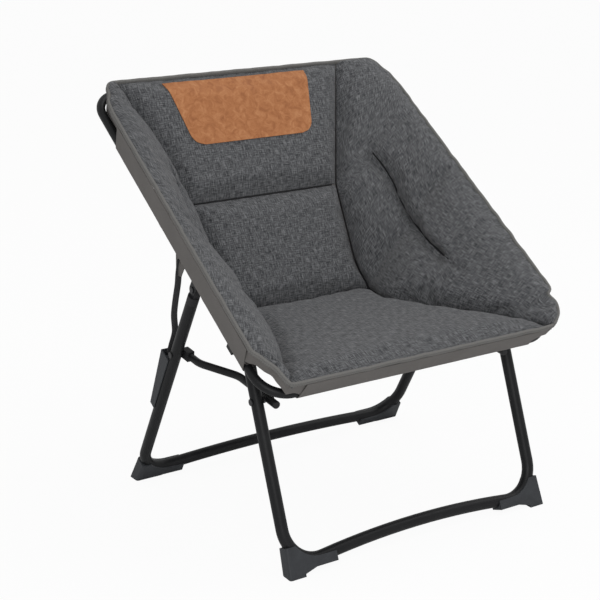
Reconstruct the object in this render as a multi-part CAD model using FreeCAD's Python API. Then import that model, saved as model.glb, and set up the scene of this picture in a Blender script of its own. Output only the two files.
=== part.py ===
import FreeCAD, Part
import math
import os
from FreeCAD import Vector

# Folding camping chair with a padded cloth bucket on a tilted tube rim and two folding leg frames.
# Millimetres and degrees. The chair faces -Y, +X is its left-hand seat side seen from the front, +Z is up.

# Leg frames: bent steel tube, one frame in front and a wider one behind
leg_tube = 25.0
leg_wall = 1.5
leg_bend = 70.0
floor_bow = 14.0
sole = 9.0
foot_spread = 592.6
front_lean = 20.3
rear_lean = 30.5
rear_leg_inset = 1.0
leg_nest = 38.0

# Rim hoop: round tube in a tilted plane
rim_tube = 19.0
rim_wall = 1.5
rim_half_width = 351.0
rim_tilt = 33.5
rim_height = 555.0
rim_front = 332.0
rim_back = 527.0
rim_corner = 60.0
rim_joint_at = 110.0
rim_joint_length = 80.0

# Pivots: how far the leg pivots hang below the rim tube, and where the side links join the legs
rear_pivot_drop = 24.0
front_pivot_drop = 37.6
link_rear_drop = 190.0
link_front_drop = 94.4

# Hinge fittings
rivet = 7.9
rivet_head = 14.0
rivet_head_height = 2.5
running_gap = 0.05
ear = 12.0
ear_radius = 10.8
ear_gap = 0.3
cheek = 3.0
cheek_radius = 11.0
plug_start = 18.0
tube_start = 38.0
plug_spigot = 30.0
press_gap = 0.1

# Side links
link_tube = 16.0
link_wall = 1.5
link_side_gap = 0.6
link_eye = 16.0
link_eye_height = 21.0
link_tube_from = 26.0
link_joggle_from = 62.0
link_joggle_to = 150.0
link_joggle_bend = 60.0
link_overhang = 28.0
link_spacer = 5.5
link_cap_length = 6.0
link_spigot = 14.0
open_pivot_gap = 0.4

# Feet: moulded corner gussets
foot_length = 104.0
foot_height = 58.0
foot_side_wall = 2.5
foot_splay = 11.0
foot_flat = 26.0
foot_rise_to = 54.0
foot_lip = 5.0
foot_round = 5.0

# Leg clips: open-topped holsters behind the rear legs
clip_length = 150.0
clip_below_link = 6.0
clip_mouth = 34.0
clip_toe = 15.0
clip_wall = 2.5

# Cloth
cloth_gap = 0.3
band_cloth = 2.4
binding = 8.0
backing_cloth = 1.6
pad_edge = 4.0
welt_rise = 62.0
welt_flare = 17.0
welt_front_rise = 50.0
welt_front_overhang = 15.0
welt_front_cut = 45.0
welt_front_cut_length = 88.0
welt_top_setback = 30.0
welt_top_cut = 29.0
welt_top_cut_length = 77.0
band_end_gap = 6.0
bracket_notch = 30.0

# Padded liner: the seat and back meet in a sewn line, which hangs a little to one side
bucket_depth = 187.4
junction_along = 12.0
liner_shift = -37.0
wing_reach = 192.0
wing_reach_at_seam = 180.0
wing_reach_at_top = 55.0
seat_neck = 108.0
seam_up_back = 254.5
crease_inset = 1.2
wing_edge_gap = 3.0
backing_setback = 8.0
seat_crown = 24.0
back_crown = 20.0
wing_crown = 24.0
tuck_radius = 6.0
tuck_depth = 5.0
tuck_from = 4
tuck_to = 8

# Leather-look patch on the upper back
patch_top_width = 360.0
patch_bottom_width = 300.0
patch_height = 152.0
patch_drop = 16.0
patch_thickness = 1.6

# Strap and tab
strap_width = 14.0
strap_thickness = 2.5
tab_thickness = 2.0
tab_hang = 40.0
tab_width = 46.0
tab_foot = 20.0
tab_behind_pivot = 82.0
strap_bow = 18.0
strap_touch = 42.0
strap_end_gap = 3.0

X = Vector(1, 0, 0)
Z = Vector(0, 0, 1)
half_leg = leg_tube / 2
half_rim = rim_tube / 2
half_link = link_tube / 2
parts = {}

# Widths and edges that follow the rim
rear_half_width = rim_half_width - rear_leg_inset
front_half_width = rear_half_width - leg_nest
welt_half_width = rim_half_width + welt_flare
welt_front_half = welt_half_width - welt_front_cut
welt_top_half = welt_half_width - welt_top_cut
welt_front = rim_front + welt_front_overhang
welt_top = rim_back - welt_top_setback
welt_side_front = welt_front - welt_front_cut_length
welt_side_top = welt_top - welt_top_cut_length
junction_half = welt_half_width - wing_reach
seam_half = welt_half_width - wing_reach_at_seam
back_top_half = welt_top_half - wing_reach_at_top


def direction(angle):
    """Unit vector in the side plane, at an angle from +Y towards +Z."""
    turn = math.radians(angle)
    return Vector(0, math.cos(turn), math.sin(turn))


def square(along):
    """Unit vector in the side plane, a quarter turn on from the one given."""
    return Vector(0, -along.z, along.y)


def line(a, b):
    return Part.LineSegment(a, b).toShape()


def arc(a, through, b):
    return Part.Arc(a, through, b).toShape()


def prism(points, depth):
    """Solid of a flat outline pushed along a vector."""
    return Part.Face(Part.makePolygon(points + points[:1])).extrude(depth)


def rod(a, b, radius):
    return Part.makeCylinder(radius, (b - a).Length, a, b - a)


def sweep(edges, radius):
    start = edges[0].valueAt(edges[0].FirstParameter)
    heading = edges[0].tangentAt(edges[0].FirstParameter)
    ring = Part.Wire([Part.makeCircle(radius, start, heading)])
    return Part.Wire(edges).makePipeShell([ring], True, False)


def tube(edges, radius, wall):
    return sweep(edges, radius).cut(sweep(edges, radius - wall))


def mirrored(shape):
    return shape.mirror(Vector(0, 0, 0), X)


def pair(name, left_shape):
    parts[name + "_left"] = left_shape
    parts[name + "_right"] = mirrored(left_shape)


# Rim plane and the two leg planes

rim_up = direction(rim_tilt)
rim_out = square(rim_up)


def on_rim(x, along, out):
    """Point by its sideways place, its run up the rim and its height above the rim tube's plane."""
    return Vector(x, 0, rim_height) + rim_up * along + rim_out * out


def rim_along(point):
    return (point - Vector(0, 0, rim_height)).dot(rim_up)


front_up = direction(90 - front_lean)
rear_up = direction(90 + rear_lean)
front_foot = Vector(0, -foot_spread / 2, 0)
rear_foot = Vector(0, foot_spread / 2, 0)


def pivot_on_rim(foot, up, drop):
    """Point of a leg's centre line that lies a set drop below the rim tube's plane."""
    reach = (-drop - (foot - Vector(0, 0, rim_height)).dot(rim_out)) / up.dot(rim_out)
    return foot + up * reach


rear_pivot = pivot_on_rim(rear_foot, rear_up, rear_pivot_drop)
front_pivot = pivot_on_rim(front_foot, front_up, front_pivot_drop)
link_rear = rear_pivot - rear_up * link_rear_drop
link_front = front_pivot - front_up * link_front_drop


# Rim hoop in two halves, with a joint sleeve inside each side

def rim_half(end):
    """Path of one half of the hoop: side run, corner, cross run, corner, side run."""
    way = 1 if end > rim_joint_at else -1
    side = rim_half_width
    flat = side - rim_corner
    turn = end - way * rim_corner
    slack = rim_corner * (1 - math.sqrt(0.5))
    joint_left = on_rim(-side, rim_joint_at, 0)
    joint_right = on_rim(side, rim_joint_at, 0)
    corner_left = arc(on_rim(-side, turn, 0), on_rim(-side + slack, end - way * slack, 0), on_rim(-flat, end, 0))
    corner_right = arc(on_rim(flat, end, 0), on_rim(side - slack, end - way * slack, 0), on_rim(side, turn, 0))
    return [
        line(joint_left, on_rim(-side, turn, 0)),
        corner_left,
        line(on_rim(-flat, end, 0), on_rim(flat, end, 0)),
        corner_right,
        line(on_rim(side, turn, 0), joint_right),
    ]


parts["rim_front_hoop"] = tube(rim_half(-rim_front), half_rim, rim_wall)
parts["rim_rear_hoop"] = tube(rim_half(rim_back), half_rim, rim_wall)
joint_low = on_rim(-rim_half_width, rim_joint_at - rim_joint_length / 2, 0)
joint_high = on_rim(-rim_half_width, rim_joint_at + rim_joint_length / 2, 0)
pair("rim_joint", rod(joint_low, joint_high, half_rim - rim_wall - press_gap))


# Leg frames

def leg_path(foot, up, half_width, top):
    """Leg, floor corner, bowed floor bar, corner and leg, down from a point near the pivot."""
    low = (half_leg + sole) / up.z
    reach = (top - foot).dot(up) - tube_start
    tip = 2 * math.atan(floor_bow / (half_width - leg_bend))

    def at(u, v):
        return foot + X * u + up * v

    def corner(side, angle):
        turn = math.radians(angle)
        return at(side * (half_width - leg_bend + leg_bend * math.cos(turn)), low + leg_bend + leg_bend * math.sin(turn))

    last = -90 - math.degrees(tip)
    bar_half = half_width - leg_bend - leg_bend * math.sin(tip)
    bar_end = low + leg_bend - leg_bend * math.cos(tip)
    crest = at(0, bar_end + bar_half * math.tan(tip / 2))
    return [
        line(at(-half_width, reach), at(-half_width, low + leg_bend)),
        arc(corner(-1, 0), corner(-1, last / 2), corner(-1, last)),
        arc(corner(-1, last), crest, corner(1, last)),
        arc(corner(1, last), corner(1, last / 2), corner(1, 0)),
        line(at(half_width, low + leg_bend), at(half_width, reach)),
    ]


def corner_foot(foot, up, half_width, path):
    """Gusset under the left floor corner: flat on the floor, with a groove for the tube."""
    low = (half_leg + sole) / up.z
    across = up.cross(X)
    half_depth = half_leg + foot_side_wall
    inner = leg_bend - foot_lip
    outer = leg_bend + half_leg + foot_side_wall
    middle = low + leg_bend
    start = math.asin((foot_height - middle) / inner)
    shoulder = half_width - leg_bend + math.sqrt(outer ** 2 - (foot_height - middle) ** 2)
    splay = half_width + foot_splay
    ceiling = low - half_leg - foot_side_wall
    below = -half_depth

    def at(u, v):
        return foot - X * u + up * v - across * half_depth

    def groove(turn):
        return at(half_width - leg_bend + inner * math.cos(turn), middle + inner * math.sin(turn))

    tip_top = at(half_width - foot_length, low + foot_lip)
    tip_low = at(half_width - foot_length, ceiling)
    knee = at(half_width - foot_rise_to, ceiling)
    heel = at(half_width - foot_flat, 0)
    heel_low = at(half_width - foot_flat, below)
    toe = at(splay + (splay - shoulder) * half_depth / foot_height, below)
    edges = [
        line(toe, at(shoulder, foot_height)),
        line(at(shoulder, foot_height), groove(start)),
        arc(groove(start), groove((start - math.pi / 2) / 2), groove(-math.pi / 2)),
        line(groove(-math.pi / 2), tip_top),
        line(tip_top, tip_low),
        line(tip_low, knee),
        line(knee, heel),
        line(heel, heel_low),
        line(heel_low, toe),
    ]
    block = Part.Face(Part.Wire(edges)).extrude(across * (2 * half_depth))
    outer_edges = [e for e in block.Edges if e.CenterOfMass.x < -half_width
                   and abs(e.tangentAt(e.FirstParameter).dot(up)) > 0.9]
    block = block.makeFillet(foot_round, outer_edges)
    under = Part.makeBox(4 * half_width, 4 * foot_length, foot_length,
                         Vector(-2 * half_width, foot.y - 2 * foot_length, -foot_length))
    return block.cut([sweep(path, half_leg + press_gap), under])


def hinge_plug(pivot, up, x):
    """Moulded end of a leg: an eye on the pivot, a round neck as wide as the tube, a spigot in the tube."""
    place = Vector(x, pivot.y, pivot.z)
    across = up.cross(X)
    eye = rod(place - X * (ear / 2), place + X * (ear / 2), ear_radius)
    neck = place - up * plug_start
    slab = prism([
        place + across * ear_radius - X * (ear / 2),
        place - across * ear_radius - X * (ear / 2),
        neck - across * ear_radius - X * (ear / 2),
        neck + across * ear_radius - X * (ear / 2),
    ], X * ear)
    collar = rod(neck, place - up * tube_start, half_leg)
    spigot_radius = half_leg - leg_wall - press_gap
    spigot = rod(place - up * tube_start, place - up * (tube_start + plug_spigot), spigot_radius)
    hole = rod(place - X * ear, place + X * ear, rivet / 2 + running_gap)
    return eye.fuse([slab, collar, spigot]).removeSplitter().cut(hole)


def rivet_through(place, from_x, to_x):
    """Headed pin along X between two outside faces."""
    a = Vector(from_x, place.y, place.z)
    b = Vector(to_x, place.y, place.z)
    way = X if to_x > from_x else -X
    shank = rod(a, b, rivet / 2)
    heads = [rod(a - way * rivet_head_height, a, rivet_head / 2), rod(b, b + way * rivet_head_height, rivet_head / 2)]
    return shank.fuse(heads)


front_path = leg_path(front_foot, front_up, front_half_width, front_pivot)
rear_path = leg_path(rear_foot, rear_up, rear_half_width, rear_pivot)
front_frame = tube(front_path, half_leg, leg_wall)
rear_frame = tube(rear_path, half_leg, leg_wall)
pair("front_foot", corner_foot(front_foot, front_up, front_half_width, front_path))
pair("rear_foot", corner_foot(rear_foot, rear_up, rear_half_width, rear_path))
pair("front_hinge_plug", hinge_plug(front_pivot, front_up, -front_half_width))
pair("rear_hinge_plug", hinge_plug(rear_pivot, rear_up, -rear_half_width))


# Rim brackets: a saddle on the rim tube with two cheeks that hold the hinge plug's eye

cheek_inside = ear / 2 + ear_gap
cheek_outside = cheek_inside + cheek
rim_run = rod(on_rim(-rim_half_width, -rim_front, 0), on_rim(-rim_half_width, rim_back, 0), half_rim + press_gap)


def cheeks(pivot, x, top):
    """Two plates from the pivot up to a height above the rim plane, with the pivot hole."""
    along = rim_along(pivot)
    place = Vector(x, pivot.y, pivot.z)
    outline = [
        on_rim(x, along - cheek_radius, top),
        on_rim(x, along + cheek_radius, top),
        place + rim_up * cheek_radius,
        place - rim_up * cheek_radius,
    ]
    hole = rod(place - X * ear_radius, place + X * ear_radius, rivet / 2 + running_gap)
    plates = []
    for start in (-cheek_outside, cheek_inside):
        plate = prism([p + X * start for p in outline], X * cheek)
        nose = rod(place + X * start, place + X * (start + cheek), cheek_radius)
        plates.append(plate.fuse(nose).removeSplitter().cut(hole))
    return plates


rear_along = rim_along(rear_pivot)
front_along = rim_along(front_pivot)
rear_saddle = prism([
    on_rim(-rear_half_width - cheek_outside, rear_along - cheek_radius, -half_rim - cheek),
    on_rim(-rear_half_width + cheek_outside, rear_along - cheek_radius, -half_rim - cheek),
    on_rim(-rear_half_width + cheek_outside, rear_along - cheek_radius, 0),
    on_rim(-rear_half_width - cheek_outside, rear_along - cheek_radius, 0),
], rim_up * (2 * cheek_radius))
rear_cheeks = cheeks(rear_pivot, -rear_half_width, 0)
rear_bracket = rear_saddle.fuse(rear_cheeks).removeSplitter().cut(rim_run)
arm_low = -half_rim - 2 * cheek
front_arm = prism([
    on_rim(-rim_half_width - half_rim, front_along - cheek_radius, arm_low),
    on_rim(-front_half_width + cheek_outside, front_along - cheek_radius, arm_low),
    on_rim(-front_half_width + cheek_outside, front_along - cheek_radius, arm_low + cheek),
    on_rim(-rim_half_width + half_rim, front_along - cheek_radius, arm_low + cheek),
    on_rim(-rim_half_width + half_rim, front_along - cheek_radius, 0),
    on_rim(-rim_half_width - half_rim, front_along - cheek_radius, 0),
], rim_up * (2 * cheek_radius))
front_cheeks = cheeks(front_pivot, -front_half_width, arm_low + cheek)
front_bracket = front_arm.fuse(front_cheeks).removeSplitter().cut(rim_run)
pair("rear_bracket", rear_bracket)
pair("front_bracket", front_bracket)
pair("rear_pivot_rivet", rivet_through(rear_pivot, -rear_half_width - cheek_outside, -rear_half_width + cheek_outside))
pair("front_pivot_rivet",
     rivet_through(front_pivot, -front_half_width - cheek_outside, -front_half_width + cheek_outside))


# Side links: the rear eye turns on a rivet through the rear leg, the front rivet is left open

link_way = (link_front - link_rear).normalize()
link_square = square(link_way)
link_length = (link_front - link_rear).Length
eye_x = -rear_half_width + half_leg + link_side_gap + link_eye / 2
front_x = -front_half_width + half_leg + link_spacer + half_link


def on_link(x, along, up):
    return Vector(x, link_rear.y, link_rear.z) + link_way * along + link_square * up


def link_path():
    """Straight from the eye, an easy joggle inwards past the front leg, then straight on."""
    a = on_link(eye_x, link_tube_from, 0)
    b = on_link(eye_x, link_joggle_from, 0)
    c = on_link(front_x, link_joggle_to, 0)
    d = on_link(front_x, link_length + link_overhang, 0)
    slope = (c - b).normalize()
    turn = link_way.getAngle(slope)
    cut = link_joggle_bend * math.tan(turn / 2)
    sag = link_joggle_bend * (1 / math.cos(turn / 2) - 1)
    first = (slope - link_way).normalize()
    return [
        line(a, b - link_way * cut),
        arc(b - link_way * cut, b + first * sag, b + slope * cut),
        line(b + slope * cut, c - slope * cut),
        arc(c - slope * cut, c - first * sag, c + link_way * cut),
        line(c + link_way * cut, d),
    ]


link_hole = rod(on_link(-rear_half_width - leg_tube, 0, 0), on_link(-front_half_width, 0, 0), rivet / 2 + running_gap)
eye_low = eye_x - link_eye / 2
eye_high = eye_x + link_eye / 2
eye_round = rod(on_link(eye_low, 0, 0), on_link(eye_high, 0, 0), link_eye_height / 2)
eye_slab = prism([
    on_link(eye_low, 0, -link_eye_height / 2),
    on_link(eye_low, link_tube_from, -link_eye_height / 2),
    on_link(eye_low, link_tube_from, link_eye_height / 2),
    on_link(eye_low, 0, link_eye_height / 2),
], X * link_eye)
bore = half_link - link_wall - press_gap
eye_spigot = rod(on_link(eye_x, link_tube_from, 0), on_link(eye_x, link_tube_from + link_spigot, 0), bore)
pair("link_eye", eye_round.fuse([eye_slab, eye_spigot]).removeSplitter().cut(link_hole))
pair("link_tube", tube(link_path(), half_link, link_wall))
cap_face = on_link(front_x, link_length + link_overhang, 0)
cap_disc = rod(cap_face, cap_face + link_way * link_cap_length, half_link)
cap_rims = [e for e in cap_disc.Edges if (e.CenterOfMass - cap_face).dot(link_way) > link_cap_length / 2
            and isinstance(e.Curve, Part.Circle)]
cap_disc = cap_disc.makeFillet(link_cap_length / 2, cap_rims)
pair("link_cap", cap_disc.fuse(rod(cap_face - link_way * link_spigot, cap_face, bore)).removeSplitter())
leg_outside = -rear_half_width - half_leg
pair("link_rear_rivet", rivet_through(link_rear, leg_outside, eye_high + ear_gap))
button = on_link(front_x + half_link, link_length, 0)
button_pin = rod(on_link(front_x, link_length, 0), button, rivet / 2)
button_head = rod(button, button + X * rivet_head_height, rivet_head / 2)
button_seat = rod(on_link(front_x, link_length, 0), button, rivet / 2 + press_gap)
pair("link_button", button_pin.fuse(button_head))
for side in ("left", "right"):
    seat = button_seat if side == "left" else mirrored(button_seat)
    parts["link_tube_" + side] = parts["link_tube_" + side].cut(seat)
spacer_end = front_x - half_link - open_pivot_gap
front_leg_outside = -front_half_width - half_leg
front_leg_inside = -front_half_width + half_leg
link_front_pin = rod(Vector(front_leg_outside, link_front.y, link_front.z),
                     Vector(spacer_end, link_front.y, link_front.z), rivet / 2)
link_front_head = rod(Vector(front_leg_outside - rivet_head_height, link_front.y, link_front.z),
                      Vector(front_leg_outside, link_front.y, link_front.z), rivet_head / 2)
link_front_washer = rod(Vector(front_leg_inside, link_front.y, link_front.z),
                        Vector(spacer_end, link_front.y, link_front.z), rivet_head / 2)
pair("link_front_rivet", link_front_pin.fuse([link_front_head, link_front_washer]))


# Rivet holes through the legs

def drill(frame, place, half_width):
    holes = []
    for side in (-1, 1):
        middle = Vector(side * half_width, place.y, place.z)
        holes.append(rod(middle - X * leg_tube, middle + X * leg_tube, rivet / 2 + running_gap))
    return frame.cut(holes)


parts["front_leg_frame"] = drill(front_frame, link_front, front_half_width)
parts["rear_leg_frame"] = drill(rear_frame, link_rear, rear_half_width)


# Leg clips: a wedge-shaped holster open at the top, gripping the rear leg from behind

def leg_clip():
    behind = rear_up.cross(X)
    top = link_rear - rear_up * (link_eye_height / 2 + clip_below_link)
    half_width = half_leg + clip_wall + cloth_gap
    bottom = top - rear_up * clip_length

    def at(place, back):
        return place - X * (rear_half_width + half_width) + behind * back

    def inside(place, back):
        return place - X * (rear_half_width + half_leg) + behind * back

    throat = half_leg + cloth_gap + clip_wall
    shell = prism([at(top, 0), at(top, clip_mouth), at(bottom, clip_toe + clip_wall), at(bottom, 0)], X * (2 * half_width))
    floor = bottom + rear_up * clip_wall
    pocket = prism([
        inside(top + rear_up, throat),
        inside(top + rear_up, clip_mouth - clip_wall),
        inside(floor, clip_toe),
        inside(floor, clip_toe - clip_wall / 2),
    ], X * leg_tube)
    groove = rod(top + rear_up - X * rear_half_width, bottom - rear_up - X * rear_half_width, half_leg + cloth_gap)
    return shell.cut([pocket, groove])


pair("leg_clip", leg_clip())


# Cloth bands: each hangs from the edge binding and wraps the rim tube in a tunnel

def band(origin, out, up, run, top):
    """Band with a tunnel at the origin and a skin that leaves it at a tangent, pushed along its run."""
    inner = half_rim + cloth_gap
    outer = inner + band_cloth
    reach = math.hypot(top[0], top[1])
    leave = math.atan2(top[1], top[0]) - math.acos(outer / reach)
    length = math.sqrt(reach ** 2 - outer ** 2)
    join = math.acos(inner / outer)

    def at(angle, radius, along):
        facing = out * math.cos(angle) + up * math.sin(angle)
        rising = up * math.cos(angle) - out * math.sin(angle)
        return origin + facing * radius + rising * along

    def round_tunnel(angle):
        return at(angle, outer, 0)

    close = leave + join
    sweep_angle = 2 * math.pi - join
    half_way = close + sweep_angle / 2
    edges = [
        line(round_tunnel(leave), at(leave, outer, length)),
        line(at(leave, outer, length), at(leave, inner, length)),
        line(at(leave, inner, length), round_tunnel(close)),
        arc(round_tunnel(close), round_tunnel(close + sweep_angle / 4), round_tunnel(half_way)),
        arc(round_tunnel(half_way), round_tunnel(half_way + sweep_angle / 4), round_tunnel(leave)),
    ]
    tunnel = Part.makeCircle(inner, origin, run)
    return Part.makeFace([Part.Wire(edges), Part.Wire([tunnel])], "Part::FaceMakerBullseye").extrude(run)


def bracket_clearance(along, width):
    """Space cut out of a side band's tunnel, where a bracket comes down from the rim tube."""
    outer = half_rim + cloth_gap
    low = 2 * leg_tube
    corner = on_rim(-rim_half_width - outer, along - bracket_notch / 2, -low)
    points = [corner, corner + X * width, corner + X * width + rim_out * (low + half_rim), corner + rim_out * (low + half_rim)]
    return prism(points, rim_up * bracket_notch)


skin_top = welt_rise - binding / 2 - cloth_gap
side_run = rim_up * (welt_side_top + welt_side_front - 2 * band_end_gap)
side_origin = on_rim(-rim_half_width, -welt_side_front + band_end_gap, 0)
side_skin = (welt_half_width - rim_half_width + binding / 2, skin_top)
side_band = band(side_origin, -X, rim_out, side_run, side_skin)
notch_width = 4 * half_leg
side_band = side_band.cut([bracket_clearance(rear_along, notch_width), bracket_clearance(front_along, notch_width)])
pair("band", side_band)
cross_half = rim_half_width - rim_corner - band_end_gap
cross_run = X * (2 * cross_half)
front_skin = (welt_front - rim_front + binding / 2, welt_front_rise - binding / 2 - cloth_gap)
parts["band_front"] = band(on_rim(-cross_half, -rim_front, 0), -rim_up, rim_out, cross_run, front_skin)
top_skin = (welt_top - rim_back + binding / 2, skin_top)
parts["band_top"] = band(on_rim(-cross_half, rim_back, 0), rim_up, rim_out, cross_run, top_skin)


# Edge binding: a sewn bead round the mouth of the bucket, with cut-off corners

welt_corners = [
    (welt_front_half, -welt_front, welt_front_rise),
    (welt_half_width, -welt_side_front, welt_rise),
    (welt_half_width, welt_side_top, welt_rise),
    (welt_top_half, welt_top, welt_rise),
]
ring_points = [on_rim(x, s, h) for x, s, h in welt_corners]
ring_points += [on_rim(-x, s, h) for x, s, h in reversed(welt_corners)]
beads = [rod(a, b, binding / 2) for a, b in zip(ring_points, ring_points[1:] + ring_points[:1])]
knobs = [Part.makeSphere(binding / 2, p) for p in ring_points]
parts["edge_binding"] = beads[0].fuse(beads[1:] + knobs).removeSplitter()


# Liner: creases where the panels are sewn together

junction = on_rim(0, junction_along, -bucket_depth)
seat_front = on_rim(0, -welt_front, welt_front_rise)
back_top = on_rim(0, welt_top, welt_rise)
seat_line = seat_front - junction
back_line = back_top - junction
seat_normal = -square(Vector(seat_line).normalize())
back_normal = square(Vector(back_line).normalize())
seat_neck_share = seat_neck / seat_line.Length
seam_share = seam_up_back / back_line.Length
patch_top_share = 1 - patch_drop / back_line.Length
patch_bottom_share = patch_top_share - patch_height / back_line.Length


def seat_half(share):
    """Half width of the seat from the junction, 0, to the front edge, 1."""
    flare = max(0, (share - seat_neck_share) / (1 - seat_neck_share))
    return junction_half + (welt_front_half - junction_half) * flare


def back_half(share):
    """Half width of the back from the junction, 0, to the top edge, 1."""
    if share < seam_share:
        return junction_half + (seam_half - junction_half) * share / seam_share
    return seam_half + (back_top_half - seam_half) * (share - seam_share) / (1 - seam_share)


def seat_edge(side, share, inset):
    x = side * (seat_half(share) - inset) + liner_shift * (1 - share)
    return junction + seat_line * share + X * x


def back_edge(side, share, inset):
    return junction + back_line * share + X * (side * (back_half(share) - inset) + liner_shift)


def crowned(left, right, up, crown, depth):
    """Outline of a pad's section: flat underside, short sides and a crowned top."""
    middle = (left + right) * 0.5 + up * crown
    low_left = left - up * depth
    low_right = right - up * depth
    edges = [line(low_left, low_right), line(low_right, right), arc(right, middle, left), line(left, low_left)]
    return Part.Wire(edges)


def flat(left, right, up, top, bottom):
    """Outline of a backing cloth's section."""
    points = [left + up * top, right + up * top, right + up * bottom, left + up * bottom]
    return Part.makePolygon(points + points[:1])


def loft(sections):
    return Part.makeLoft(sections, True, True)


backing_top = -pad_edge - cloth_gap
backing_low = backing_top - backing_cloth
seat_inset = crease_inset / seat_line.Length
back_inset = crease_inset / back_line.Length
edge_inset = (binding / 2 + cloth_gap) / seat_line.Length
top_inset = (binding / 2 + cloth_gap) / back_line.Length
seat_shares = [seat_inset, 0.3 * seat_neck_share, seat_neck_share, 0.5, 0.75, 0.92, 1 - edge_inset]
seat_lifts = [0.1, 0.55, 0.9, 1.0, 0.95, 0.7, 0.2]
lower_shares = [back_inset, 0.17 * seam_share, 0.5 * seam_share, 0.83 * seam_share, seam_share - back_inset]
lower_lifts = [0.1, 0.65, 1.0, 0.75, 0.15]
patch_middle = (patch_bottom_share + patch_top_share) / 2
below_patch = (2 * seam_share + patch_bottom_share) / 3
upper_shares = [seam_share + back_inset, below_patch, patch_bottom_share, patch_middle, patch_top_share, 1 - top_inset]
upper_lifts = [0.15, 0.75, 1.0, 0.9, 0.45, 0.2]


def panel(edge, normal, shares, lifts, crown):
    """Pad between the two creases of a panel, from one sewn line to the next."""
    sections = []
    for share, lift in zip(shares, lifts):
        left = edge(-1, share, crease_inset)
        right = edge(1, share, crease_inset)
        sections.append(crowned(left, right, normal, crown * lift, pad_edge))
    return loft(sections)


def panel_backing(edge, normal, shares):
    sections = []
    for share in shares:
        left = edge(-1, share, crease_inset)
        right = edge(1, share, crease_inset)
        sections.append(flat(left, right, normal, backing_top, backing_low))
    return loft(sections)


parts["seat_pad"] = panel(seat_edge, seat_normal, seat_shares, seat_lifts, seat_crown)
parts["back_lower_pad"] = panel(back_edge, back_normal, lower_shares, lower_lifts, back_crown)
parts["back_upper_pad"] = panel(back_edge, back_normal, upper_shares, upper_lifts, back_crown)
parts["seat_backing"] = panel_backing(seat_edge, seat_normal, [seat_shares[0], seat_neck_share, seat_shares[-1]])
parts["back_backing"] = panel_backing(back_edge, back_normal, [lower_shares[0], seam_share, upper_shares[-1]])


# Wings: padded sides from the seat and back creases up to the side edges of the rim

def welt_edge(side, along):
    """Point of the side edge, which turns in towards the top and the front."""
    over = max(0, along - welt_side_top) / (welt_top - welt_side_top)
    under = max(0, -welt_side_front - along) / (welt_front - welt_side_front)
    x = welt_half_width - (welt_half_width - welt_top_half) * over - (welt_half_width - welt_front_half) * under
    return on_rim(side * x, along, welt_rise - (welt_rise - welt_front_rise) * under)


def wing_chords(side):
    """Pairs of a crease point and an edge point, from the front of the wing to its top."""
    seat_stations = [(0.97, -1.24), (0.915, -1.14), (0.78, -0.9), (0.5, -0.35), (seat_neck_share, 0.06)]
    low = 0.4 * seam_share
    middle = 0.7 * seam_share
    high = (seam_share + 1) / 2
    back_stations = [(low, 0.5), (middle, 0.66), (seam_share, 0.8), (high, 0.93), (0.92, 1.08), (0.985, 1.16)]
    chords = []
    for share, along in seat_stations:
        place = along * (welt_side_front if along < 0 else welt_side_top)
        chords.append((seat_edge(side, share, 0), welt_edge(side, place)))
    chords.append((seat_edge(side, 0, 0), welt_edge(side, 0.3 * welt_side_top)))
    for share, along in back_stations:
        chords.append((back_edge(side, share, 0), welt_edge(side, along * welt_side_top)))
    return chords


def wing_frames(side):
    """For each chord: its ends, drawn in from the sewn lines, and the direction its pad swells."""
    chords = wing_chords(side)
    frames = []
    for index, (crease, edge) in enumerate(chords):
        before = chords[max(0, index - 1)]
        after = chords[min(len(chords) - 1, index + 1)]
        along = (after[0] - before[0]) + (after[1] - before[1])
        way = (edge - crease).normalize()
        up = way.cross(along).normalize() * side
        frames.append((crease + way * crease_inset, edge - way * (binding / 2 + wing_edge_gap), up))
    return frames


wing_lifts = [0.1, 0.45, 0.85, 1.0, 1.0, 0.95, 0.9, 0.9, 0.85, 0.7, 0.35, 0.1]


def wing_pad(side):
    sections = []
    for (crease, edge, up), lift in zip(wing_frames(side), wing_lifts):
        sections.append(crowned(crease, edge, up, wing_crown * lift, pad_edge))
    return loft(sections)


def wing_backing(side):
    sections = []
    for crease, edge, up in wing_frames(side):
        setback = (edge - crease).normalize() * min(backing_setback, (edge - crease).Length / 3)
        sections.append(flat(crease, edge - setback, up, backing_top, backing_low))
    return loft(sections)


def wing_tuck(side):
    """Sewn channel that runs slantwise down the middle of a wing, over its crown."""
    frames = wing_frames(side)
    points = []
    for index in range(tuck_from, tuck_to + 1):
        crease, edge, up = frames[index]
        points.append((crease + edge) * 0.5 + up * (wing_crown * wing_lifts[index] + tuck_radius - tuck_depth))
    runs = [rod(a, b, tuck_radius) for a, b in zip(points, points[1:])]
    return runs[0].fuse(runs[1:] + [Part.makeSphere(tuck_radius, p) for p in points]).removeSplitter()


for side, name in ((-1, "left"), (1, "right")):
    parts["wing_pad_" + name] = wing_pad(side).cut(wing_tuck(side))
    parts["wing_backing_" + name] = wing_backing(side)


# Leather-look patch: a thin trapezoid on the swell of the upper back

def patch_section(share, half, lift):
    span = back_half(share) - crease_inset
    crown = back_crown * lift
    radius = (span * span + crown * crown) / (2 * crown)
    middle = junction + back_line * share + X * liner_shift

    def at(x, rise):
        height = math.sqrt(radius * radius - x * x) - radius + crown
        return middle + X * x + back_normal * (height + rise)

    low = 2 * cloth_gap
    high = low + patch_thickness
    edges = [
        arc(at(-half, low), at(0, low), at(half, low)),
        line(at(half, low), at(half, high)),
        arc(at(half, high), at(0, high), at(-half, high)),
        line(at(-half, high), at(-half, low)),
    ]
    return Part.Wire(edges)


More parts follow.
